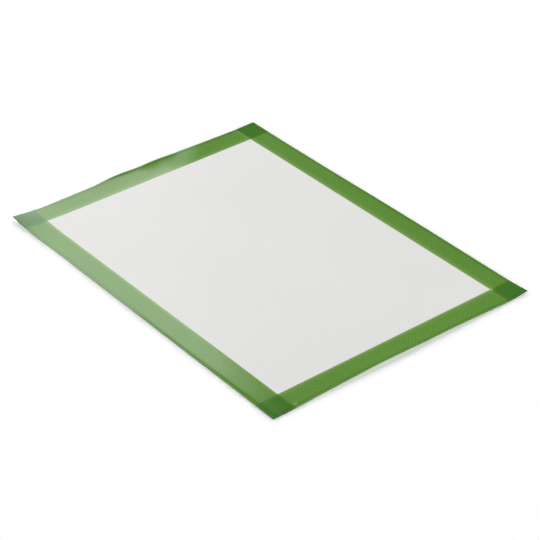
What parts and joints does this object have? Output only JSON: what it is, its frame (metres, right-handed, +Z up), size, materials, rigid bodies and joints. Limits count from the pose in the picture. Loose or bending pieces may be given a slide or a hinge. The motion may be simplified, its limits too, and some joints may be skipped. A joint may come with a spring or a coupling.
{
  "type": "baking mat",
  "caption": "Thin rectangular silicone baking mat: a flat clear-coated woven panel inside a coloured border band that wraps its edges and curls up slightly.",
  "frame": {"origin": "middle of the mat's footprint, on the table that it lies on", "axes": "+X along the long side, +Y along the short side, +Z up out of the baking surface"},
  "size_m": [0.4, 0.296, 0.0047],
  "materials": {
    "woven_glass": "plain woven glass fibre cloth, white",
    "clear_silicone": "translucent silicone over woven cloth, satin",
    "green_silicone": "green silicone coat, semi-gloss, weave showing through"
  },
  "bodies": {
    "root": {"glass_cloth": "woven_glass", "lower_silicone_coat": "clear_silicone", "upper_silicone_coat": "clear_silicone", "front_long_band": "green_silicone", "rear_long_band": "green_silicone", "left_short_band": "green_silicone", "right_short_band": "green_silicone"}
  },
  "joints": []
}
